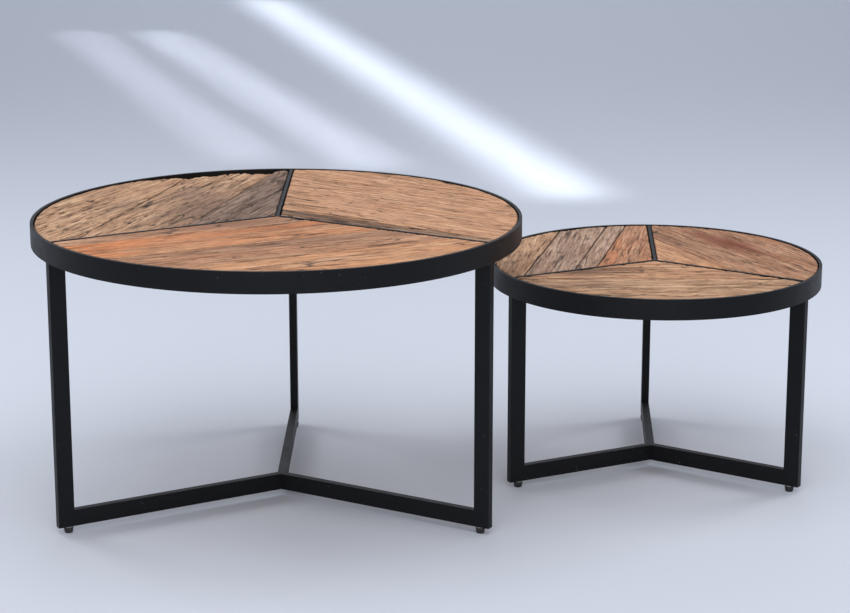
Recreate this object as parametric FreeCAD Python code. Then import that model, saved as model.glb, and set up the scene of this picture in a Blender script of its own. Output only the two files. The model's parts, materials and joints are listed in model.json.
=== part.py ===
import FreeCAD, Part
import math
import os

# Set of two round nesting tables, in millimetres, +Z up, standing on z = 0.
# Each top is a rolled flat-bar ring with three flat-bar dividers that split it into
# three sectors of old planks on backing boards. Each base is three rectangular-tube
# legs mitred to three rails that meet at the middle, on screw-in levelling feet.
# The origin is the middle of the bounding box, on the floor.

Vector = FreeCAD.Vector

# --- sizes of each table -----------------------------------------------------------
large_diameter = 750.0
large_height = 450.0
small_diameter = 530.0
small_height = 345.0

# the small table's centre from the large table's centre, and its turn
small_offset_x = 595.0
small_offset_y = 151.0
small_turn = -2.85

# --- stock sizes -------------------------------------------------------------------
bar_height = 32.0
bar_thickness = 5.0
tube_depth = 25.4
tube_width = 12.7
tube_wall = 1.5
tube_corner = 1.0
bore_corner = 0.5
cap_thickness = 3.0
rail_underside = 10.0
divider_drop = 0.5

# --- wood --------------------------------------------------------------------------
plank_thickness = 16.0
board_thickness = 9.0
wood_gap = 1.5
plank_joint = 0.6

# --- tabs under the boards and their screws ----------------------------------------
tab_thickness = 3.0
tab_length = 26.0
tab_width = 20.0
centre_tab_radius = 46.0
rim_tab_turn = 34.0
screw_radius = 2.0
screw_head_radius = 3.9
screw_head_height = 1.8
screw_length = 17.0
screw_hole_clearance = 0.3
pilot_clearance = 0.02

# --- levelling feet ----------------------------------------------------------------
foot_inset = 17.0
pad_radius = 7.5
pad_bottom_radius = 6.0
pad_rounding = 1.2
stud_radius = 3.0
stud_bore_clearance = 0.05
stud_length = 19.0
insert_radius = 4.3
insert_length = 16.0
insert_flange_radius = 6.5
insert_flange_thickness = 1.0
foot_gap = 0.3
insert_hole_clearance = 0.02

# --- sectors: where each starts, the grain's direction, and where its planks join ---
# angles in degrees from +X; joints are distances from the table's centre, across the grain
places = {"back": 90.0, "left": 210.0, "right": 330.0}
large_sectors = {
    "left": {"start": 90.0, "grain": 76.0, "joints": [112.0, 238.0]},
    "front": {"start": 210.0, "grain": 27.0, "joints": [58.0, 160.0, 264.0]},
    "right": {"start": 330.0, "grain": 147.0, "joints": [43.0, 156.0, 262.0]},
}
small_sectors = {
    "left": {"start": 90.0, "grain": 80.0, "joints": [84.0, 115.0, 186.0]},
    "front": {"start": 210.0, "grain": 3.0, "joints": [124.0]},
    "right": {"start": 330.0, "grain": 117.0, "joints": [77.0, 132.0]},
}

sector_angle = 120.0
far = 2000.0

# centres that put the origin in the middle of the pair's bounding box
large_radius = large_diameter / 2
small_radius = small_diameter / 2
large_centre_x = -(small_offset_x + small_radius - large_radius) / 2
large_centre_y = -(small_offset_y + small_radius - large_radius) / 2

os.makedirs("parts", exist_ok=True)


# --- small geometry helpers --------------------------------------------------------
def at_angle(radius, degrees, z=0.0):
    """Point at a radius and an angle about the table's centre."""
    turn = math.radians(degrees)
    return Vector(radius * math.cos(turn), radius * math.sin(turn), z)


def prism(points, z_low, z_high):
    """Straight prism over a plan outline."""
    corners = [Vector(p.x, p.y, z_low) for p in points]
    outline = Part.makePolygon(corners + corners[:1])
    return Part.Face(outline).extrude(Vector(0, 0, z_high - z_low))


def cylinder(radius, z_low, z_high, centre=Vector(0, 0, 0)):
    """Upright cylinder."""
    return Part.makeCylinder(radius, z_high - z_low, Vector(centre.x, centre.y, z_low))


def block(radial_low, radial_high, width, z_low, z_high, degrees=0.0):
    """Box that lies along a radius of the table, turned to an angle."""
    box = Part.makeBox(radial_high - radial_low, width, z_high - z_low,
                       Vector(radial_low, -width / 2, z_low))
    box.rotate(Vector(0, 0, 0), Vector(0, 0, 1), degrees)
    return box


def rounded_bar(length, depth, width, corner):
    """Bar along +Z with its corners rounded, centred on the axis."""
    bar = Part.makeBox(depth, width, length, Vector(-depth / 2, -width / 2, 0))
    upright = [e for e in bar.Edges if abs(e.tangentAt(e.FirstParameter).z) > 0.99]
    return bar.makeFillet(corner, upright)


def tube(length):
    """Rectangular tube along +Z: depth along X, width along Y."""
    outside = rounded_bar(length, tube_depth, tube_width, tube_corner)
    bore = rounded_bar(length + 2, tube_depth - 2 * tube_wall, tube_width - 2 * tube_wall, bore_corner)
    bore.translate(Vector(0, 0, -1))
    return outside.cut(bore)


def wedge_at_centre(half_angle):
    """Plan wedge about +X that mitres three bars meeting at the centre."""
    reach = far * math.tan(math.radians(half_angle))
    return [Vector(0, 0, 0), Vector(far, -reach, 0), Vector(far, reach, 0)]


def save(name, shape):
    """Write one node."""
    shape.exportStep("parts/" + name + ".step")


# --- pieces of one table, about its own centre -------------------------------------
def make_rim(radius, height):
    """Flat bar rolled into a ring and welded shut."""
    outside = cylinder(radius, height - bar_height, height)
    inside = cylinder(radius - bar_thickness, height - bar_height - 1, height + 1)
    return outside.cut(inside)


def make_divider(radius, height, degrees):
    """Flat bar on edge, from the mitred centre to the inside of the rim."""
    top = height - divider_drop
    bar = block(-bar_thickness, radius, bar_thickness, height - bar_height, top)
    mitre = prism(wedge_at_centre(sector_angle / 2), height - bar_height - 1, height + 1)
    inside = cylinder(radius - bar_thickness, height - bar_height - 1, height + 1)
    divider = bar.common(mitre).common(inside)
    divider.rotate(Vector(0, 0, 0), Vector(0, 0, 1), degrees)
    return divider


def make_leg(radius, height, degrees):
    """Upright tube under the rim, mitred at 45 degrees onto its rail."""
    top = height - bar_height - cap_thickness
    leg = tube(top - rail_underside)
    leg.translate(Vector(radius - tube_depth / 2, 0, rail_underside))
    inner = radius - tube_depth
    below = [Vector(inner - far, 0, rail_underside + tube_depth + far),
             Vector(radius + far, 0, rail_underside - far),
             Vector(inner - far, 0, rail_underside - far)]
    leg = leg.cut(upright_prism(below))
    leg.rotate(Vector(0, 0, 0), Vector(0, 0, 1), degrees)
    return leg


def upright_prism(points):
    """Prism across the tube over an outline drawn in the XZ plane."""
    corners = [Vector(p.x, -tube_width, p.z) for p in points]
    outline = Part.makePolygon(corners + corners[:1])
    return Part.Face(outline).extrude(Vector(0, 2 * tube_width, 0))


def make_rail(radius, degrees):
    """Base tube from the mitre under the leg to the mitre at the table's centre."""
    rail = tube(radius + tube_depth)
    rail.rotate(Vector(0, 0, 0), Vector(0, 1, 0), 90)
    rail.translate(Vector(-tube_depth, 0, rail_underside + tube_depth / 2))
    inner = radius - tube_depth
    above = [Vector(inner - far, 0, rail_underside + tube_depth + far),
             Vector(radius + far, 0, rail_underside - far),
             Vector(radius + far, 0, rail_underside + tube_depth + far)]
    rail = rail.cut(upright_prism(above))
    rail = rail.common(prism(wedge_at_centre(sector_angle / 2), 0, rail_underside + far))
    centre = Vector(radius - foot_inset, 0, 0)
    hole_top = rail_underside + tube_wall + 1
    rail = rail.cut(cylinder(insert_radius + insert_hole_clearance, 0, hole_top, centre))
    rail.rotate(Vector(0, 0, 0), Vector(0, 0, 1), degrees)
    return rail


def make_leg_caps(radius, height):
    """Plates welded into the rim's lower edge, one on top of each leg."""
    top = height - bar_height
    caps = []
    for degrees in places.values():
        cap = rounded_bar(cap_thickness, tube_depth, tube_width, tube_corner)
        cap.translate(Vector(radius - tube_depth / 2, 0, top - cap_thickness))
        cap = cap.common(cylinder(radius, top - cap_thickness - 1, top + 1))
        cap.rotate(Vector(0, 0, 0), Vector(0, 0, 1), degrees)
        caps.append(cap)
    return caps


def screw_places(radius, sectors):
    """Plan points of the screws: two near the rim and one near the centre, per sector."""
    points = []
    for sector in sectors.values():
        middle = sector["start"] + sector_angle / 2
        for turn in (-rim_tab_turn, rim_tab_turn):
            points.append(at_angle(radius - bar_thickness - tab_length * 0.6, middle + turn))
        points.append(at_angle(centre_tab_radius * 0.62, middle))
    return points


def sector_outline(start, clearance):
    """Plan wedge between two dividers, kept a clearance from their centre lines."""
    tip = at_angle(clearance / math.sin(math.radians(sector_angle / 2)), start + sector_angle / 2)
    first = tip + at_angle(far, start)
    last = tip + at_angle(far, start + sector_angle)
    beyond = at_angle(2 * far, start + sector_angle / 2)
    return [tip, first, beyond, last]


def make_support_tabs(radius, height, sectors):
    """Small plates welded inside the rim and at the centre, under the boards."""
    top = height - plank_thickness - board_thickness
    low = top - tab_thickness
    inside = cylinder(radius - bar_thickness, low - 1, top + 1)
    tabs = []
    for sector in sectors.values():
        middle = sector["start"] + sector_angle / 2
        for turn in (-rim_tab_turn, rim_tab_turn):
            plate = block(radius - bar_thickness - tab_length, radius, tab_width, low, top)
            plate = plate.common(inside)
            plate.rotate(Vector(0, 0, 0), Vector(0, 0, 1), middle + turn)
            tabs.append(plate)
        corner = prism(sector_outline(sector["start"], bar_thickness / 2), low, top)
        tabs.append(corner.common(cylinder(centre_tab_radius, low, top)))
    drilled = []
    for tab in tabs:
        for point in screw_places(radius, sectors):
            hole = cylinder(screw_radius + screw_hole_clearance, low - 1, top + 1, point)
            if hole.common(tab).Volume > 0:
                tab = tab.cut(hole)
        drilled.append(tab)
    return drilled


def make_screws(radius, height, sectors):
    """Pan-head wood screws up through the tabs and boards into the planks."""
    under = height - plank_thickness - board_thickness - tab_thickness
    screws = []
    for point in screw_places(radius, sectors):
        head = cylinder(screw_head_radius, under - screw_head_height, under, point)
        edge = [e for e in head.Edges if e.BoundBox.ZMax < under - 0.01 and len(e.Vertexes) == 1]
        head = head.makeFillet(screw_head_height / 2, edge)
        shank = cylinder(screw_radius, under, under + screw_length - 2 * screw_radius, point)
        tip_low = under + screw_length - 2 * screw_radius
        tip = Part.makeCone(screw_radius, 0.2, 2 * screw_radius, Vector(point.x, point.y, tip_low))
        screws.append(head.fuse([shank, tip]).removeSplitter())
    return screws


def screw_pilots(radius, height, sectors):
    """The holes that the screws cut in the wood."""
    under = height - plank_thickness - board_thickness - tab_thickness
    top = under + screw_length + 0.5
    size = screw_radius + pilot_clearance
    return [cylinder(size, under, top, point) for point in screw_places(radius, sectors)]


def make_board(radius, height, sector, pilots):
    """Backing board of one sector."""
    top = height - plank_thickness
    clearance = bar_thickness / 2 + wood_gap
    board = prism(sector_outline(sector["start"], clearance), top - board_thickness, top)
    disc = cylinder(radius - bar_thickness - wood_gap, top - board_thickness, top)
    board = board.common(disc)
    for pilot in pilots:
        board = board.cut(pilot)
    return board


def make_planks(radius, height, sector, pilots):
    """Planks of one sector, cut to its outline and numbered outwards."""
    clearance = bar_thickness / 2 + wood_gap
    low = height - plank_thickness
    outline = prism(sector_outline(sector["start"], clearance), low, height)
    outline = outline.common(cylinder(radius - bar_thickness - wood_gap, low, height))
    edges = [-far] + sector["joints"] + [far]
    middle = sector["start"] + sector_angle / 2
    across = sector["grain"] - 90.0
    if math.cos(math.radians(across - middle)) < 0:
        across += 180.0
    planks = []
    for inner, outer in zip(edges[:-1], edges[1:]):
        strip = Part.makeBox(outer - inner - plank_joint, 2 * far, plank_thickness,
                             Vector(inner + plank_joint / 2, -far, low))
        strip.rotate(Vector(0, 0, 0), Vector(0, 0, 1), across)
        plank = outline.common(strip)
        for pilot in pilots:
            plank = plank.cut(pilot)
        planks.append(plank.Solids[0])
    return planks


def make_insert(radius, degrees):
    """Threaded insert pressed up into the underside of a rail."""
    flange_low = rail_underside - insert_flange_thickness
    insert = cylinder(insert_radius, flange_low, flange_low + insert_length)
    insert = insert.fuse(cylinder(insert_flange_radius, flange_low, rail_underside))
    bore = cylinder(stud_radius + stud_bore_clearance, flange_low - 1, flange_low + insert_length + 1)
    insert = insert.cut(bore).removeSplitter()
    insert.translate(at_angle(radius - foot_inset, degrees))
    return insert


def make_foot(radius, degrees):
    """Levelling foot: a round pad on its stud, screwed right in."""
    pad_top = rail_underside - insert_flange_thickness - foot_gap
    pad = Part.makeCone(pad_bottom_radius, pad_radius, pad_top)
    rims = [e for e in pad.Edges if len(e.Vertexes) == 1]
    pad = pad.makeFillet(pad_rounding, rims)
    stud = cylinder(stud_radius, pad_top / 2, pad_top / 2 + stud_length)
    top_edge = [e for e in stud.Edges if e.BoundBox.ZMin > pad_top + 1 and len(e.Vertexes) == 1]
    stud = stud.makeChamfer(0.6, top_edge)
    foot = pad.fuse(stud).removeSplitter()
    foot.translate(at_angle(radius - foot_inset, degrees))
    return foot


# --- one whole table ---------------------------------------------------------------
def make_table(name, radius, height, sectors, centre, turn):
    """Write every node of one table, moved to its place in the pair."""
    placement = FreeCAD.Placement(centre, FreeCAD.Rotation(Vector(0, 0, 1), turn))

    def put(node, shapes):
        group = shapes if isinstance(shapes, list) else [shapes]
        solids = [solid for shape in group for solid in shape.Solids]
        whole = solids[0] if len(solids) == 1 else Part.makeCompound(solids)
        whole = whole.copy()
        whole.Placement = placement.multiply(whole.Placement)
        save(name + "_" + node, whole)

    put("rim", make_rim(radius, height))
    for place, degrees in places.items():
        put("divider_" + place, make_divider(radius, height, degrees))
        put("leg_" + place, make_leg(radius, height, degrees))
        put("rail_" + place, make_rail(radius, degrees))
        put("foot_" + place, make_foot(radius, degrees))
    put("leg_caps", make_leg_caps(radius, height))
    put("foot_inserts", [make_insert(radius, degrees) for degrees in places.values()])
    put("support_tabs", make_support_tabs(radius, height, sectors))
    put("screws", make_screws(radius, height, sectors))
    pilots = screw_pilots(radius, height, sectors)
    for place, sector in sectors.items():
        put("board_" + place, make_board(radius, height, sector, pilots))
        for number, plank in enumerate(make_planks(radius, height, sector, pilots), 1):
            put("plank_" + place + "_" + str(number), plank)


large_centre = Vector(large_centre_x, large_centre_y, 0)
small_centre = Vector(large_centre_x + small_offset_x, large_centre_y + small_offset_y, 0)
make_table("large", large_radius, large_height, large_sectors, large_centre, 0.0)
make_table("small", small_radius, small_height, small_sectors, small_centre, small_turn)
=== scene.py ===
import bpy
import bmesh
import json
import math
import numpy as np
from mathutils import Matrix, Vector


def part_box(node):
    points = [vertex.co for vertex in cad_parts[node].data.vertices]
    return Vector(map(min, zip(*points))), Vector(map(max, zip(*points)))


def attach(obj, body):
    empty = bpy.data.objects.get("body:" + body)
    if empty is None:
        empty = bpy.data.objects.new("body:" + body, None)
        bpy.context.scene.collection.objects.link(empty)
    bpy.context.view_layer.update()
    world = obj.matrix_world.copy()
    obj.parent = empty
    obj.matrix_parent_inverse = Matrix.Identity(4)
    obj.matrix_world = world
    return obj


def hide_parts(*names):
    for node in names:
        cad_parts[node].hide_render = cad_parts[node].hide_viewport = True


# Looks of the set of two round nesting tables: old planks with real grooves, cracks and
# chipped edges in black powder-coated steel frames. Metres, in the frame's own axes.

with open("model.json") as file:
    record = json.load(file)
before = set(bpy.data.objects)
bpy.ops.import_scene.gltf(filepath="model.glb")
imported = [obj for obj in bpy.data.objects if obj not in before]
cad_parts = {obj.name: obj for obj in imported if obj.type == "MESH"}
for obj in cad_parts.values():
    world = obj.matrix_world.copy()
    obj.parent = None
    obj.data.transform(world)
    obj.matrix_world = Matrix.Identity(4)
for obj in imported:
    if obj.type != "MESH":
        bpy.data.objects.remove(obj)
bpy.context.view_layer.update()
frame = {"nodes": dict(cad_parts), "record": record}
record = frame["record"]

MM = 0.001

# --- camera -------------------------------------------------------------------------
camera_height = 1.2070
camera_distance = 3.5357
camera_side = 0.2261
camera_pitch = 14.307
camera_turn = -0.178
focal_in_widths = 2.7732
sensor_width = 36.0

# --- places read from the frame ------------------------------------------------------
TABLES = ("large", "small")


def middle(node):
    """Centre of a node's box."""
    low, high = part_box(node)
    return (low + high) / 2


rim_middle = {table: middle(table + "_rim") for table in TABLES}
rim_radius = {table: (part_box(table + "_rim")[1].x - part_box(table + "_rim")[0].x) / 2
              for table in TABLES}


# --- seeded noise on arrays ------------------------------------------------------------
def lattice(ix, iy, seed):
    """Repeatable random value from 0 to 1 for whole-number places."""
    mask = np.uint64(0xFFFFFFFF)
    value = (ix.astype(np.int64) * 374761393 + iy.astype(np.int64) * 668265263 + seed * 974634777)
    value = value.astype(np.uint64) & mask
    value = ((value ^ (value >> np.uint64(13))) * np.uint64(1274126177)) & mask
    value = ((value ^ (value >> np.uint64(16))) * np.uint64(2246822519)) & mask
    value = value ^ (value >> np.uint64(15))
    return value.astype(float) / float(0xFFFFFFFF)


def noise(x, y, seed):
    """Smooth noise from -1 to 1, with features one unit wide."""
    ix, iy = np.floor(x), np.floor(y)
    fx, fy = x - ix, y - iy
    sx, sy = fx * fx * (3 - 2 * fx), fy * fy * (3 - 2 * fy)
    a = lattice(ix, iy, seed)
    b = lattice(ix + 1, iy, seed)
    c = lattice(ix, iy + 1, seed)
    d = lattice(ix + 1, iy + 1, seed)
    return 2 * (a + (b - a) * sx + (c - a) * sy + (a - b - c + d) * sx * sy) - 1


def fractal(x, y, seed, octaves=4, gain=0.5):
    """Several octaves of noise, about -1 to 1."""
    total, size, weight = 0.0, 1.0, 0.0
    for octave in range(octaves):
        total = total + size * noise(x * 2 ** octave, y * 2 ** octave, seed + 17 * octave)
        weight += size
        size *= gain
    return total / weight


def smooth(x):
    """Smooth step of a value clipped to 0..1."""
    x = np.clip(x, 0, 1)
    return x * x * (3 - 2 * x)


# --- planks ----------------------------------------------------------------------------
# grain: degrees from +X at rest. rough: depth of the worn grain. low: how far the worn face
# lies below the rim. checks: share of the face with short fine cracks. splits: long cracks.
# pits: broken-out places. chips: depth of broken edges. colour: which wood. stains: darker places
# as (x, y, length, width, amount), in millimetres from the table's centre, drawn out along the grain.
# sunk: wood worn away along part of the rim, as (start, end) in degrees, depth and reach in millimetres.
def plank(grain, colour, rough=0.5, low=0.8, checks=0.4, splits=4, pits=6, chips=0.6, seed=1, **more):
    return dict(grain=grain, colour=colour, rough=rough, low=low, checks=checks, splits=splits,
                pits=pits, chips=chips, seed=seed, **more)


PLANKS = {
    "large_plank_left_1": plank(
        72, "grey", rough=1.3, low=1.2, checks=1.1, splits=18, pits=16, chips=0.9, seed=11,
        sunk=(86, 112, 4.5, 24), stains=[(-30, 90, 260, 60, 0.6), (-40, 300, 60, 40, 0.4)]),
    "large_plank_left_2": plank(
        70, "straw", rough=1.3, low=1.6, checks=1.0, splits=10, pits=44, chips=1.2, seed=12,
        sunk=(91, 142, 6.5, 36), stains=[(-110, 60, 150, 70, 0.75), (-150, 170, 60, 30, 0.5)]),
    "large_plank_left_3": plank(
        66, "straw", rough=1.4, low=1.4, checks=0.9, splits=5, pits=52, chips=1.1, seed=13,
        sunk=(108, 132, 6.0, 30), stains=[(-250, 60, 60, 20, 0.5), (-200, 10, 60, 25, 0.4)]),
    "large_plank_front_1": plank(
        29, "brown", rough=0.35, low=0.6, checks=0.5, splits=5, pits=5, seed=21,
        stains=[(120, 0, 180, 16, 0.5), (-70, -60, 110, 22, 0.9)]),
    "large_plank_front_2": plank(
        27, "orange", rough=0.3, low=0.6, checks=0.5, splits=8, pits=3, seed=22,
        stains=[(60, -70, 150, 14, 0.5), (-40, -90, 90, 12, 0.5), (-130, -190, 90, 10, 0.4)]),
    "large_plank_front_3": plank(
        25, "umber", rough=0.45, low=0.7, checks=0.7, splits=9, pits=4, chips=0.7, seed=23,
        stains=[(-20, -200, 160, 22, 0.6), (190, -120, 120, 16, 0.5)]),
    "large_plank_front_4": plank(
        24, "amber", rough=0.35, low=0.6, checks=0.5, splits=4, pits=4, chips=0.8, seed=24),
    "large_plank_right_1": plank(
        147, "dust", rough=1.4, low=1.0, checks=1.0, splits=22, pits=10, chips=1.1, seed=31,
        stains=[(120, -40, 160, 14, 0.8), (40, 20, 80, 20, 0.5)]),
    "large_plank_right_2": plank(146, "tan", rough=0.6, low=0.6, checks=0.8, splits=9, pits=6, seed=32),
    "large_plank_right_3": plank(146, "tan", rough=0.5, low=0.6, checks=0.7, splits=8, pits=5, seed=33),
    "large_plank_right_4": plank(146, "tan", rough=0.6, low=0.6, checks=0.8, splits=8, pits=8, seed=34),
    "small_plank_left_1": plank(80, "rust", rough=0.4, low=0.6, checks=0.5, splits=3, pits=3, seed=41),
    "small_plank_left_2": plank(
        80, "ash", rough=0.5, low=0.7, checks=0.6, splits=4, pits=5, chips=0.9, seed=42,
        stains=[(-90, 180, 60, 16, 0.5)]),
    "small_plank_left_3": plank(
        80, "ash", rough=0.5, low=0.7, checks=0.6, splits=5, pits=5, chips=0.9, seed=43,
        stains=[(-130, 60, 60, 20, 0.4)]),
    "small_plank_left_4": plank(80, "straw", rough=0.5, low=0.7, checks=0.6, splits=4, pits=5, seed=44),
    "small_plank_front_1": plank(
        3, "tan", rough=0.85, low=0.6, checks=1.0, splits=16, pits=10, seed=51,
        stains=[(-125, -80, 80, 26, 1.0), (130, -95, 60, 16, 0.4), (-30, -60, 60, 10, 0.3)]),
    "small_plank_front_2": plank(
        2, "straw", rough=1.0, low=0.7, checks=1.1, splits=16, pits=16, chips=0.9, seed=52,
        stains=[(-110, -170, 60, 14, 0.5)]),
    "small_plank_right_1": plank(
        117, "amber", rough=0.35, low=0.6, checks=0.5, splits=4, pits=3, seed=61,
        stains=[(60, 30, 60, 14, 0.4)]),
    "small_plank_right_2": plank(
        117, "umber", rough=0.45, low=0.6, checks=0.7, splits=7, pits=4, seed=62,
        stains=[(40, 150, 110, 26, 0.6), (140, 10, 60, 20, 0.4)]),
    "small_plank_right_3": plank(
        117, "knotty", rough=0.45, low=0.6, checks=0.8, splits=7, pits=12, seed=63,
        stains=[(130, 120, 60, 30, 1.0), (170, 60, 40, 12, 0.5), (90, 190, 40, 14, 0.5)]),
}

# A plank's mesh: spacing of its points across and along the grain, and width of its outermost strip.
row_step = 1.1 * MM
column_step = 2.6 * MM
fine_edge = 0.35 * MM


def hull(points):
    """Convex outline of plan points, anticlockwise."""
    points = sorted(set((round(float(x), 6), round(float(y), 6)) for x, y in points))

    def half(sequence):
        line = []
        for p in sequence:
            while len(line) > 1:
                (ax, ay), (bx, by) = line[-2], line[-1]
                if (bx - ax) * (p[1] - ay) - (by - ay) * (p[0] - ax) > 1e-12:
                    break
                line.pop()
            line.append(p)
        return line[:-1]

    return np.array(half(points) + half(points[::-1]))


def top_outline(node):
    """Outline of a plank's top face, from its CAD mesh."""
    co = np.array([v.co for v in frame["nodes"][node].data.vertices])
    top = co[:, 2].max()
    return hull(co[co[:, 2] > top - 1e-5][:, :2]), float(top), float(co[:, 2].min())


def spans(outline, rows):
    """Where each row across the outline starts and ends."""
    starts = np.full(len(rows), np.inf)
    ends = np.full(len(rows), -np.inf)
    following = np.roll(outline, -1, axis=0)
    for (ax, ay), (bx, by) in zip(outline, following):
        if abs(by - ay) < 1e-9:
            continue
        share = (rows - ay) / (by - ay)
        inside = (share >= -1e-9) & (share <= 1 + 1e-9)
        x = ax + (bx - ax) * share
        starts = np.where(inside, np.minimum(starts, x), starts)
        ends = np.where(inside, np.maximum(ends, x), ends)
    return starts, ends


def distance_inside(outline, x, y):
    """Distance of plan points from the nearest side of a convex outline."""
    nearest = np.full(x.shape, np.inf)
    following = np.roll(outline, -1, axis=0)
    for (ax, ay), (bx, by) in zip(outline, following):
        length = math.hypot(bx - ax, by - ay)
        if length < 1e-6:
            continue
        side = ((bx - ax) * (y - ay) - (by - ay) * (x - ax)) / length
        nearest = np.minimum(nearest, side)
    return nearest


def fine_checks(u, v, seed, length, width, share):
    """Short thin cracks along the grain: 1 in a crack's middle, 0 beside it."""
    line = 1 - np.abs(noise(u / length, v / width, seed)) * 7.0
    here = noise(u / (0.7 * length), v / (2.6 * width), seed + 9)
    here = here + 0.9 * noise(u / 0.16, v / 0.06, seed + 5)
    return np.clip(line, 0, 1) * smooth((here - 0.75 + 1.1 * share) * 2.2)


def add_splits(spec, rng, u, v, drop, hollow_shade):
    """Long narrow cracks along the grain."""
    low_u, reach_u = float(u.min()), float(u.max() - u.min())
    low_v, high_v = float(v.min()), float(v.max())
    for _ in range(spec["splits"]):
        centre_v = rng.uniform(low_v, high_v)
        length = reach_u * rng.uniform(0.08, 0.40)
        start = low_u + rng.uniform(-0.1, 0.95) * reach_u
        width = rng.uniform(0.5, 1.0) * MM * (0.7 + 0.4 * spec["rough"])
        depth = rng.uniform(1.5, 3.5) * MM * (0.5 + 0.7 * spec["rough"])
        path = centre_v + 2.2 * MM * noise(u / 0.05, u * 0, int(rng.integers(1 << 20)))
        share = (u - start) / length
        taper = np.sqrt(np.clip(np.sin(np.pi * np.clip(share, 0, 1)), 0, 1))
        slit = np.exp(-((v - path) / (width * (0.25 + taper))) ** 2) * taper
        drop = drop + depth * slit
        # Painted shade along the split, on top of its real depth.
        hollow_shade = hollow_shade + 1.2 * slit
    return drop, hollow_shade


def add_pits(spec, rng, u, v, drop, hollow_shade):
    """Small broken-out places, drawn out along the grain."""
    low_u, reach_u = float(u.min()), float(u.max() - u.min())
    low_v, high_v = float(v.min()), float(v.max())
    for _ in range(spec["pits"]):
        pit_u = low_u + rng.uniform(0, 1) * reach_u
        pit_v = rng.uniform(low_v, high_v)
        length = rng.uniform(2, 8) * MM * (0.7 + 0.5 * spec["rough"])
        width = rng.uniform(0.8, 2.2) * MM * (0.6 + 0.5 * spec["rough"])
        depth = rng.uniform(0.8, 2.8) * MM * (0.4 + 0.6 * spec["rough"])
        ragged = 1 + 0.6 * noise(u / 0.006, v / 0.003, int(rng.integers(1 << 20)))
        hole = np.exp(-(((u - pit_u) / length) ** 2 + ((v - pit_v) / width) ** 2) * ragged)
        drop = drop + depth * hole
        # Painted shade in the pit.
        hollow_shade = hollow_shade + (0.4 + 0.35 * spec["rough"]) * hole
    return drop, hollow_shade


def add_chips(spec, seed, u, v, edge, drop, hollow_shade):
    """Broken edges all round the plank. Edge is the distance from its outline."""
    chip_noise = np.clip(fractal(u / 0.02, v / 0.02, seed, 3) + 0.15, 0, 1)
    chip_width = 1.5 * MM + 3.0 * MM * spec["chips"] * chip_noise
    chip = np.clip(1 - edge / chip_width, 0, 1)
    drop = drop + (0.9 * MM + 1.6 * MM * spec["chips"]) * chip ** 1.5
    # Painted shade along the broken edge.
    hollow_shade = hollow_shade + 0.9 * chip ** 2
    return drop, hollow_shade


def worn_surface(spec, u, v, edge):
    """How far each point of a plank's face lies below the rim, and how much shade is painted on it in
    hollows.
    """
    rng = np.random.default_rng(spec["seed"])
    seed = spec["seed"] * 101
    rough = spec["rough"]
    wander = 2.5 * MM * noise(u / 0.11, v / 0.05, seed + 1) + 0.8 * MM * noise(u / 0.03, v / 0.02, seed + 2)
    across = v + wander
    swell = 0.4 * MM * fractal(u / 0.16, v / 0.07, seed + 3, 2)
    fine = 0.35 * MM * (0.4 + rough) * np.clip(fractal(u / 0.03, across / 0.0042, seed + 4, 2), 0, 1)
    checks = fine_checks(u, across, seed + 5, 0.060, 0.0050, spec["checks"])
    checks = np.maximum(checks, fine_checks(u, across, seed + 25, 0.090, 0.0090, spec["checks"] - 0.15))
    groove = 2.2 * MM * rough * np.clip(fractal(u / 0.085, across / 0.0070, seed + 6, 3) - 0.18, 0, 1)
    patch = smooth(0.55 + 1.3 * fractal(u / 0.09, v / 0.05, seed + 7, 2))
    drop = spec["low"] * MM + swell + fine + groove * (0.3 + 0.8 * patch)
    drop = drop + (0.5 + 1.1 * rough) * MM * checks
    # Painted shade: fine checks and the deeper parts of the worn grooves are darkened as if shade fell in
    # them.
    hollow_shade = 0.75 * checks + groove * (0.25 + 0.75 * patch) / (2.0 * MM)
    drop, hollow_shade = add_splits(spec, rng, u, v, drop, hollow_shade)
    drop, hollow_shade = add_pits(spec, rng, u, v, drop, hollow_shade)
    return add_chips(spec, seed + 8, u, v, edge, drop, hollow_shade)


def stained(spec, x, y):
    """Share of dark stain at plan points measured from the table's centre."""
    turn = math.radians(spec["grain"])
    total = np.zeros_like(x)
    for place, (sx, sy, length, width, amount) in enumerate(spec.get("stains", [])):
        dx, dy = x - sx * MM, y - sy * MM
        along = (dx * math.cos(turn) + dy * math.sin(turn)) / (length * MM)
        over = (dy * math.cos(turn) - dx * math.sin(turn)) / (width * MM)
        ragged = 1 + 0.7 * fractal(along * 2.2, over * 3.1, spec["seed"] + 31 * place, 4)
        total = total + amount * np.exp(-(along ** 2 + over ** 2) * np.clip(ragged, 0.2, 2))
    return np.clip(total, 0, 1)


def sunk_edge(spec, x, y, radius):
    """How far the wood is worn away along part of the rim."""
    if "sunk" not in spec:
        return np.zeros_like(x)
    start, end, depth, reach = spec["sunk"]
    turn = np.degrees(np.arctan2(y, x))
    window = smooth((turn - start) / 6) * smooth((end - turn) / 9)
    inward = radius - np.hypot(x, y)
    ragged = 0.85 + 0.35 * noise(turn / 4.0, turn * 0, 3) + 0.10 * noise(turn, turn * 0, 5)
    limit = reach * MM * ragged
    share = smooth((limit - inward) / (7 * MM))
    return depth * MM * window * share


def plank_grid(flat):
    """Rows and columns of points over an outline that is given along and across the grain."""
    low_v, high_v = flat[:, 1].min() + 0.02 * MM, flat[:, 1].max() - 0.02 * MM
    count = max(6, int(round((high_v - low_v) / row_step)))
    rows = np.linspace(low_v + fine_edge, high_v - fine_edge, count)
    rows = np.concatenate([[low_v], rows, [high_v]])
    starts, ends = spans(flat, rows)
    columns = max(8, int(round((ends - starts).max() / column_step)))
    share = np.linspace(0, 1, columns + 1)
    near = fine_edge / (ends - starts).max()
    share = np.concatenate([[0, near], share[1:-1], [1 - near, 1]])
    u = starts[:, None] + (ends - starts)[:, None] * share[None, :]
    v = np.repeat(rows[:, None], len(share), axis=1)
    return u, v


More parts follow.
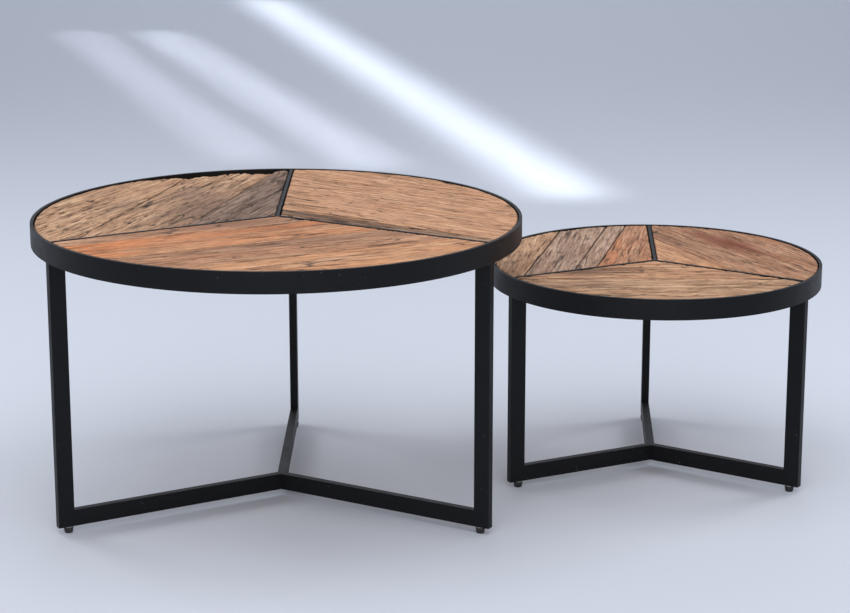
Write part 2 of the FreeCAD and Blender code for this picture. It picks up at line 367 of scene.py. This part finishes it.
def closed_block(x, y, z, bottom):
    """Points and faces of a block under a grid, and the numbers of the grid points round its edge."""
    n_rows, n_columns = x.shape
    index = np.arange(n_rows * n_columns).reshape(n_rows, n_columns)
    quads = np.stack([index[:-1, :-1], index[:-1, 1:], index[1:, 1:], index[1:, :-1]], -1).reshape(-1, 4)
    loop = np.concatenate([index[0, :], index[1:, -1], index[-1, -2::-1], index[-2:0:-1, 0]])
    points = np.stack([x, y, z], -1).reshape(-1, 3)
    foot = points[loop].copy()
    foot[:, 2] = bottom
    foot_index = np.arange(len(loop)) + len(points)
    walls = np.stack([foot_index, np.roll(foot_index, -1), np.roll(loop, -1), loop], -1)
    faces = quads.tolist() + walls.tolist() + [foot_index[::-1].tolist()]
    return np.concatenate([points, foot]), faces, loop


def add_attribute(mesh, name, kind, values):
    """One value or vector for each of the mesh's points."""
    attribute = mesh.attributes.new(name, kind, "POINT")
    key = "vector" if kind == "FLOAT_VECTOR" else "value"
    attribute.data.foreach_set(key, values.astype(np.float32).reshape(-1))


def clean(mesh):
    """Join doubled points, drop faces without area, turn faces outwards and smooth the top."""
    bm = bmesh.new()
    bm.from_mesh(mesh)
    bmesh.ops.remove_doubles(bm, verts=bm.verts, dist=0.015 * MM)
    bmesh.ops.dissolve_degenerate(bm, edges=bm.edges, dist=0.005 * MM)
    bmesh.ops.recalc_face_normals(bm, faces=bm.faces)
    bm.to_mesh(mesh)
    bm.free()
    for polygon in mesh.polygons:
        polygon.use_smooth = len(polygon.vertices) <= 4 and abs(polygon.normal.z) > 0.2


def make_plank(node, spec):
    """A worn plank that stands for one CAD plank, as a closed mesh."""
    outline, top, bottom = top_outline(node)
    turn = math.radians(spec["grain"])
    along = np.array([math.cos(turn), math.sin(turn)])
    over = np.array([-math.sin(turn), math.cos(turn)])
    flat = np.stack([outline @ along, outline @ over], 1)
    u, v = plank_grid(flat)
    drop, hollow_shade = worn_surface(spec, u, v, distance_inside(flat, u, v))
    x = u * along[0] + v * over[0]
    y = u * along[1] + v * over[1]
    table = node.split("_")[0]
    from_x, from_y = x - rim_middle[table].x, y - rim_middle[table].y
    drop = drop + sunk_edge(spec, from_x, from_y, rim_radius[table])
    drop = np.clip(drop, 0.1 * MM, (top - bottom) * 0.8)
    verts, faces, loop = closed_block(x, y, top - drop, bottom)

    mesh = bpy.data.meshes.new(node + "_wood")
    mesh.from_pydata(verts.tolist(), [], faces)
    all_u = np.concatenate([u.reshape(-1), u.reshape(-1)[loop]])
    all_v = np.concatenate([v.reshape(-1), v.reshape(-1)[loop]])
    shift = spec["seed"] * 0.37
    grain = np.stack([all_u + shift, all_v + shift, verts[:, 2] - top], 1)
    # Painted shade: the face keeps its hollows' amount, and the plank's sides in the gaps beside rim and
    # dividers get 0.8.
    shade_values = np.concatenate([hollow_shade.reshape(-1), np.full(len(loop), 0.8)])
    add_attribute(mesh, "grain", "FLOAT_VECTOR", grain)
    add_attribute(mesh, "hollow_shade", "FLOAT", np.clip(shade_values, 0, 2))
    dark = stained(spec, from_x, from_y).reshape(-1)
    add_attribute(mesh, "stain", "FLOAT", np.concatenate([dark, dark[loop]]))
    clean(mesh)
    piece = bpy.data.objects.new(node + "_wood", mesh)
    bpy.context.scene.collection.objects.link(piece)
    return piece


# --- materials ---------------------------------------------------------------------------
def srgb(red, green, blue):
    """Linear colour from the usual 0 to 255 values."""
    def linear(c):
        c = c / 255
        return c / 12.92 if c <= 0.04045 else ((c + 0.055) / 1.055) ** 2.4
    return linear(red), linear(green), linear(blue)


def grey(value):
    """A linear grey."""
    return (value, value, value)


class Finish:
    """A material and its main shader. Each call below takes numbers, colours or sockets."""

    def __init__(self, name):
        self.material = bpy.data.materials.new(name)
        self.material.use_nodes = True
        self.nodes = self.material.node_tree.nodes
        self.shader = self.nodes["Principled BSDF"].inputs

    def put(self, value, socket):
        """Give a socket its value, or link it."""
        if isinstance(value, bpy.types.NodeSocket):
            self.material.node_tree.links.new(value, socket)
        elif socket.type == "RGBA":
            socket.default_value = (*value, 1)
        else:
            socket.default_value = value

    def attribute(self, name, output):
        """One of the mesh's own attributes."""
        node = self.nodes.new("ShaderNodeAttribute")
        node.attribute_name = name
        return node.outputs[output]

    def object_place(self):
        """Place in the object's own space."""
        return self.nodes.new("ShaderNodeTexCoord").outputs["Object"]

    def scaled(self, vector, along, across):
        """A vector scaled so that noise over it is drawn out along its first axis."""
        node = self.nodes.new("ShaderNodeMapping")
        node.inputs["Scale"].default_value = (along, across, across)
        self.put(vector, node.inputs["Vector"])
        return node.outputs["Vector"]

    def noise(self, vector, scale, detail, roughness=0.6, distortion=0.0):
        """Noise over a vector."""
        node = self.nodes.new("ShaderNodeTexNoise")
        node.inputs["Scale"].default_value = scale
        node.inputs["Detail"].default_value = detail
        node.inputs["Roughness"].default_value = roughness
        node.inputs["Distortion"].default_value = distortion
        self.put(vector, node.inputs["Vector"])
        return node.outputs["Fac"]

    def ramp(self, factor, stops):
        """Colour by (place, colour) stops."""
        node = self.nodes.new("ShaderNodeValToRGB")
        elements = node.color_ramp.elements
        for element, (place, colour) in zip((elements[0], elements[1]), (stops[0], stops[-1])):
            element.position = place
            element.color = (*colour, 1)
        for place, colour in stops[1:-1]:
            elements.new(place).color = (*colour, 1)
        self.put(factor, node.inputs["Fac"])
        return node.outputs["Color"]

    def mix(self, blend, amount, first, second):
        """Mix of two colours."""
        node = self.nodes.new("ShaderNodeMix")
        node.data_type = "RGBA"
        node.blend_type = blend
        self.put(amount, node.inputs[0])
        self.put(first, node.inputs[6])
        self.put(second, node.inputs[7])
        return node.outputs[2]

    def calculate(self, operation, first, second=0.0, clamp=False):
        """A sum on two values."""
        node = self.nodes.new("ShaderNodeMath")
        node.operation = operation
        node.use_clamp = clamp
        self.put(first, node.inputs[0])
        self.put(second, node.inputs[1])
        return node.outputs[0]

    def bump(self, height, strength, distance):
        """Fine relief in the shading, from a height."""
        node = self.nodes.new("ShaderNodeBump")
        node.inputs["Strength"].default_value = strength
        node.inputs["Distance"].default_value = distance
        self.put(height, node.inputs["Height"])
        self.put(node.outputs["Normal"], self.shader["Normal"])


# --- wood --------------------------------------------------------------------------------
# Colours of dark, middle and light wood, of broad streaks with their share, and of darker places.
# lines: how many fine cracks.
WOODS = {
    "tan": dict(dark=(158, 112, 80), middle=(195, 149, 115), light=(222, 182, 148), streak=(184, 136, 102),
                share=0.35, lines=0.7, stain=(120, 88, 68)),
    "straw": dict(dark=(134, 98, 72), middle=(190, 150, 117), light=(220, 188, 157), streak=(174, 134, 104),
                  share=0.4, lines=1.0, stain=(112, 88, 74)),
    "dust": dict(dark=(116, 86, 66), middle=(172, 138, 112), light=(204, 172, 146), streak=(156, 122, 98),
                 share=0.5, lines=1.0, stain=(104, 78, 62)),
    "ash": dict(dark=(120, 94, 76), middle=(172, 142, 122), light=(202, 176, 156), streak=(162, 126, 104),
                share=0.45, lines=0.8, stain=(124, 98, 82)),
    "grey": dict(dark=(98, 76, 64), middle=(152, 124, 106), light=(186, 158, 138), streak=(134, 110, 96),
                 share=0.5, lines=1.0, stain=(104, 84, 74)),
    "brown": dict(dark=(128, 88, 64), middle=(180, 136, 106), light=(210, 168, 138), streak=(196, 132, 92),
                  share=0.4, lines=0.8, stain=(134, 96, 74)),
    "umber": dict(dark=(122, 84, 60), middle=(182, 136, 104), light=(210, 168, 136), streak=(172, 122, 90),
                  share=0.5, lines=0.9, stain=(126, 92, 72)),
    "orange": dict(dark=(148, 90, 56), middle=(190, 138, 100), light=(214, 166, 130), streak=(204, 128, 78),
                   share=0.6, lines=0.8, stain=(132, 86, 60)),
    "amber": dict(dark=(148, 100, 68), middle=(196, 148, 112), light=(222, 180, 144), streak=(196, 140, 98),
                  share=0.45, lines=0.8, stain=(138, 98, 72)),
    "rust": dict(dark=(126, 80, 56), middle=(170, 124, 94), light=(204, 158, 126), streak=(190, 122, 80),
                 share=0.5, lines=0.7, stain=(122, 80, 58)),
    "knotty": dict(dark=(112, 72, 48), middle=(174, 130, 100), light=(206, 166, 138), streak=(160, 108, 76),
                   share=0.45, lines=0.9, stain=(120, 62, 38)),
}
# Dark colour painted as shade into cracks, grooves, pits, broken edges and plank sides.
HOLLOW_SHADE_COLOUR = (42, 28, 21)
FINE_CRACK = (78, 54, 41)


def wood_material(name, wood):
    """Old wood: grain streaks, fine pores, fine cracks, darker places, and shade painted into the hollows.
    """
    finish = Finish(name)
    grain = finish.attribute("grain", "Vector")
    hollow_shade = finish.attribute("hollow_shade", "Fac")
    stain = finish.attribute("stain", "Fac")

    def stretched(along, across, detail, roughness=0.6, distortion=0.0):
        """Noise drawn out along the grain."""
        return finish.noise(finish.scaled(grain, along, across), 1.0, detail, roughness, distortion)

    broad = stretched(4.0, 30.0, 4.0, 0.55, 0.6)
    streaks = stretched(11.0, 280.0, 5.0, 0.70, 0.2)
    fibres = stretched(70.0, 1300.0, 3.0, 0.75)
    blotches = stretched(16.0, 60.0, 4.0, 0.65)
    figure = stretched(18.0, 150.0, 4.0, 0.7, 0.2)
    cracks = stretched(9.0, 230.0, 2.0, 0.5, 0.25)
    cracked = stretched(16.0, 75.0, 3.0, 0.6)

    dark, middle_tone, light = (srgb(*wood[tone]) for tone in ("dark", "middle", "light"))
    tones = finish.ramp(streaks, [(0.34, dark), (0.5, middle_tone), (0.66, light)])
    streak_share = finish.ramp(broad, [(0.44, grey(0)), (0.60, grey(wood["share"] + 0.25))])
    colour = finish.mix("MIX", streak_share, tones, srgb(*wood["streak"]))
    fibre_shade = finish.ramp(
        fibres, [(0.30, (0.26, 0.22, 0.19)), (0.47, grey(1)), (0.72, (1.30, 1.28, 1.25))])
    colour = finish.mix("MULTIPLY", 0.85, colour, fibre_shade)
    blotch_shade = finish.ramp(
        blotches, [(0.34, (0.76, 0.73, 0.71)), (0.52, grey(1)), (0.70, (1.07, 1.06, 1.05))])
    colour = finish.mix("MULTIPLY", 0.9, colour, blotch_shade)
    figure_shade = finish.ramp(
        figure, [(0.37, (0.42, 0.37, 0.33)), (0.46, (0.97, 0.96, 0.95)), (0.60, (1.12, 1.11, 1.10))])
    colour = finish.mix("MULTIPLY", wood["lines"], colour, figure_shade)
    dark_place = finish.mix("MULTIPLY", 0.8, srgb(*wood["stain"]), fibre_shade)
    colour = finish.mix("MIX", stain, colour, dark_place)

    from_line = finish.calculate("ABSOLUTE", finish.calculate("SUBTRACT", cracks, 0.5))
    on_line = finish.ramp(from_line, [(0.004, grey(1)), (0.017, grey(0))])
    few_lines, all_lines = 0.58 - 0.14 * wood["lines"], 0.68 - 0.12 * wood["lines"]
    line_place = finish.ramp(cracked, [(few_lines, grey(0)), (all_lines, grey(1))])
    line_share = finish.calculate("MULTIPLY", on_line, line_place)
    line_share = finish.calculate("MULTIPLY", line_share, 0.75, True)
    colour = finish.mix("MIX", line_share, colour, srgb(*FINE_CRACK))
    # Painted shade: the deeper the hollow, the nearer the colour comes to the dark shade colour.
    hollow_shade_share = finish.calculate("SUBTRACT", hollow_shade, 0.12)
    hollow_shade_share = finish.calculate("MULTIPLY", hollow_shade_share, 1.35, True)
    colour = finish.mix("MIX", hollow_shade_share, colour, srgb(*HOLLOW_SHADE_COLOUR))

    finish.put(colour, finish.shader["Base Color"])
    finish.put(finish.ramp(streaks, [(0.3, grey(0.78)), (0.7, grey(0.60))]), finish.shader["Roughness"])
    finish.put(0.35, finish.shader["Specular IOR Level"])
    height = finish.calculate("MULTIPLY", streaks, 0.9)
    height = finish.calculate("ADD", height, fibres)
    height = finish.calculate("SUBTRACT", height, line_share)
    finish.bump(height, 0.8, 0.9 * MM)
    return finish.material


wood_materials = {name: wood_material("wood_" + name, wood) for name, wood in WOODS.items()}
slots_of = {entry["node"]: entry["material_slot"] for entry in record["subparts"]}

for node, spec in PLANKS.items():
    board = make_plank(node, spec)
    board.data.materials.append(wood_materials[spec["colour"]])
    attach(board, node.split("_")[0] + "_table")
    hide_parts(node)


# --- metal, boards, hardware -----------------------------------------------------------------
def object_noise(finish, scale, detail, roughness=0.6):
    """Noise in the object's own space."""
    return finish.noise(finish.object_place(), scale, detail, roughness)


def powder_coat():
    """Matt black powder coat: orange peel, faint scuffs, a few pale specks."""
    finish = Finish("black_powder_coat")
    peel = object_noise(finish, 900.0, 3.0)
    scuffs = object_noise(finish, 26.0, 8.0, 0.75)
    specks = object_noise(finish, 160.0, 2.0, 0.5)
    tones = finish.ramp(scuffs, [(0.35, srgb(6, 7, 9)), (0.65, srgb(12, 13, 17))])
    speck_share = finish.ramp(specks, [(0.73, grey(0)), (0.79, grey(0.6))])
    finish.put(finish.mix("MIX", speck_share, tones, srgb(92, 90, 88)), finish.shader["Base Color"])
    finish.put(finish.ramp(scuffs, [(0.3, grey(0.40)), (0.7, grey(0.55))]), finish.shader["Roughness"])
    finish.put(0.23, finish.shader["Specular IOR Level"])
    finish.bump(peel, 0.25, 0.2 * MM)
    return finish.material


def plywood():
    """Plain backing board seen from below."""
    finish = Finish("backing_plywood")
    figure = finish.noise(finish.scaled(finish.object_place(), 8.0, 160.0), 1.0, 5.0, 0.5)
    tones = finish.ramp(
        figure, [(0.3, srgb(128, 96, 66)), (0.55, srgb(166, 132, 96)), (0.8, srgb(186, 154, 118))])
    finish.put(tones, finish.shader["Base Color"])
    finish.put(0.8, finish.shader["Roughness"])
    finish.bump(figure, 0.3, 0.5 * MM)
    return finish.material


def moulded_plastic():
    """Black moulded plastic of the feet."""
    finish = Finish("foot_plastic")
    grime = object_noise(finish, 120.0, 5.0)
    tones = finish.ramp(grime, [(0.4, srgb(22, 22, 23)), (0.75, srgb(58, 55, 52))])
    finish.put(tones, finish.shader["Base Color"])
    finish.put(0.5, finish.shader["Roughness"])
    finish.bump(grime, 0.3, 0.2 * MM)
    return finish.material


def zinc():
    """Zinc-plated screws and inserts."""
    finish = Finish("zinc_plate")
    spangle = object_noise(finish, 400.0, 4.0)
    tones = finish.ramp(spangle, [(0.35, srgb(150, 150, 148)), (0.7, srgb(196, 196, 192))])
    finish.put(tones, finish.shader["Base Color"])
    finish.put(1.0, finish.shader["Metallic"])
    finish.put(finish.ramp(spangle, [(0.3, grey(0.30)), (0.7, grey(0.45))]), finish.shader["Roughness"])
    return finish.material


finishes = {"black_steel": powder_coat(), "backing_board": plywood(),
            "foot_plastic": moulded_plastic(), "zinc_hardware": zinc()}
for node, cad in frame["nodes"].items():
    if node in PLANKS:
        continue
    cad.data.materials.clear()
    cad.data.materials.append(finishes[slots_of[node]])
    if slots_of[node] == "black_steel":
        bevel = cad.modifiers.new("worn_edge", "BEVEL")
        bevel.width = 0.5 * MM
        bevel.segments = 2
        bevel.limit_method = "ANGLE"
        bevel.angle_limit = math.radians(40)


# --- floor, light and camera ------------------------------------------------------------------
def pale_floor():
    """Pale seamless floor that curves up behind."""
    depth_front, depth_back = -14.0, 9.0
    half_width, rise = 14.0, 6.0
    bend, bend_steps = 2.0, 24
    profile = [(depth_front, 0.0)]
    for step in range(bend_steps + 1):
        turn = math.pi / 2 * step / bend_steps
        profile.append((depth_back + bend * math.sin(turn), bend * (1 - math.cos(turn))))
    profile.append((depth_back + bend, rise))
    verts = [(side * half_width, y, z) for y, z in profile for side in (-1, 1)]
    faces = [(2 * i, 2 * i + 1, 2 * i + 3, 2 * i + 2) for i in range(len(profile) - 1)]
    mesh = bpy.data.meshes.new("floor")
    mesh.from_pydata(verts, [], faces)
    for polygon in mesh.polygons:
        polygon.use_smooth = True
    floor = bpy.data.objects.new("floor", mesh)
    bpy.context.scene.collection.objects.link(floor)
    paper = Finish("floor_paper")
    paper.put(srgb(206, 212, 225), paper.shader["Base Color"])
    paper.put(0.65, paper.shader["Roughness"])
    paper.put(0.2, paper.shader["Specular IOR Level"])
    mesh.materials.append(paper.material)


def area_light(name, place, aim, size, power, colour, size_y=None):
    """A soft rectangular light."""
    light = bpy.data.lights.new(name, "AREA")
    light.shape = "RECTANGLE"
    light.size = size
    light.size_y = size_y or size
    light.energy = power
    light.color = colour
    lamp = bpy.data.objects.new(name, light)
    lamp.location = place
    lamp.rotation_euler = (Vector(aim) - Vector(place)).to_track_quat("-Z", "Y").to_euler()
    bpy.context.scene.collection.objects.link(lamp)
    return lamp


def light_the_scene():
    """Soft studio light from above, the front and both sides."""
    world = bpy.data.worlds.new("studio")
    world.use_nodes = True
    background = world.node_tree.nodes["Background"]
    background.inputs["Color"].default_value = (0.88, 0.92, 1.0, 1)
    background.inputs["Strength"].default_value = 0.43
    bpy.context.scene.world = world
    daylight = (1.0, 0.99, 0.97)
    area_light("overhead", (0.0, -0.9, 3.0), (0.0, -0.5, 0.0), 3.4, 60, (1.0, 0.985, 0.96))
    area_light("front_fill", (0.0, -4.6, 2.4), (0.0, 0.2, 0.1), 3.0, 62, (1.0, 0.985, 0.965))
    area_light("left_window", (-2.4, 1.5, 2.0), (0.0, 0.0, 0.3), 1.1, 20, daylight)
    area_light("right_window", (2.6, 1.4, 2.0), (0.1, 0.0, 0.2), 1.1, 23, daylight)
    far_floor = area_light("far_floor", (0.0, 7.0, 4.5), (0.0, 6.5, 0.0), 5.0, 84, (0.98, 0.99, 1.0))
    far_floor.visible_camera = False


def light_beams():
    """Three faint beams that fall on the floor behind, each from a long narrow lamp above it."""
    lamp_height, spread = 2.5, math.radians(7)
    beams = [((-0.72, 6.4), (0.36, 2.3), 0.14, 2.2), ((-1.35, 5.4), (-0.5, 2.8), 0.04, 0.4),
             ((-1.05, 5.4), (-0.15, 2.7), 0.05, 0.65)]
    for number, (start, end, width, power) in enumerate(beams):
        run_x, run_y = end[0] - start[0], end[1] - start[1]
        middle_x, middle_y = (start[0] + end[0]) / 2, (start[1] + end[1]) / 2
        beam = area_light("beam_%d" % number, (middle_x, middle_y, lamp_height), (middle_x, middle_y, 0.0),
                          math.hypot(run_x, run_y), power, (0.96, 0.98, 1.0), width)
        beam.rotation_euler = (0, 0, math.atan2(run_y, run_x))
        beam.data.spread = spread
        beam.visible_camera = False


def place_camera():
    """Camera in front of the pair, looking slightly down."""
    camera = bpy.data.cameras.new("camera")
    camera.sensor_width = sensor_width
    camera.lens = focal_in_widths * sensor_width
    camera.clip_end = 50.0
    holder = bpy.data.objects.new("camera", camera)
    bpy.context.scene.collection.objects.link(holder)
    pivot = Vector((rim_middle["large"].x, rim_middle["large"].y, 0))
    offset = Vector((camera_side, -camera_distance, camera_height))
    turn = Matrix.Rotation(math.radians(-camera_turn), 4, "Z")
    tilt = Matrix.Rotation(math.radians(90 - camera_pitch), 4, "X")
    holder.matrix_world = Matrix.Translation(pivot) @ turn @ Matrix.Translation(offset) @ tilt
    bpy.context.scene.camera = holder


pale_floor()
light_the_scene()
light_beams()
place_camera()
bpy.context.scene.view_settings.view_transform = "Standard"
bpy.context.scene.view_settings.look = "None"
